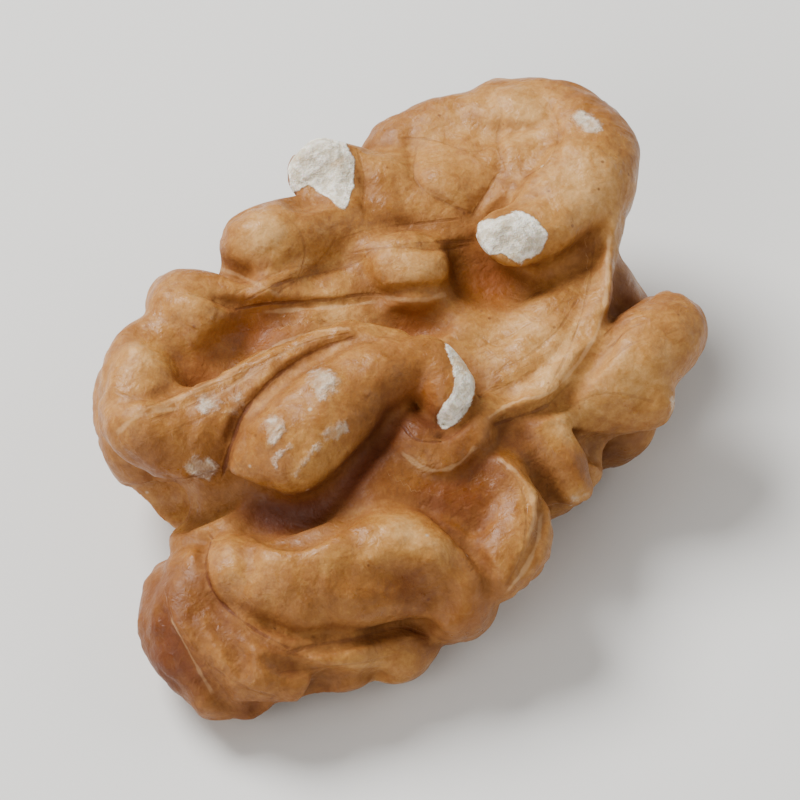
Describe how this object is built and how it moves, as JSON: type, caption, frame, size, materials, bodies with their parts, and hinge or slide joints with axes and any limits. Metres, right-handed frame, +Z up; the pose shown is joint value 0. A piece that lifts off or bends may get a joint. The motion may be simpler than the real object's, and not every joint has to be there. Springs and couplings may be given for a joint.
{
  "type": "walnut kernel half",
  "caption": "Half of a walnut kernel, lying on its rounded, brain-like folded side with the hollowed inner face up.",
  "frame": {"origin": "middle of the kernel's length and width, at the three small flat spots it rests on", "axes": "+X along the kernel's length, +Y across it, +Z up out of the inner face"},
  "size_m": [0.036, 0.027, 0.013],
  "materials": {
    "kernel_skin": "light brown papery skin with a soft gloss, darker in the folds"
  },
  "bodies": {
    "root": {"kernel": "kernel_skin"}
  },
  "joints": []
}
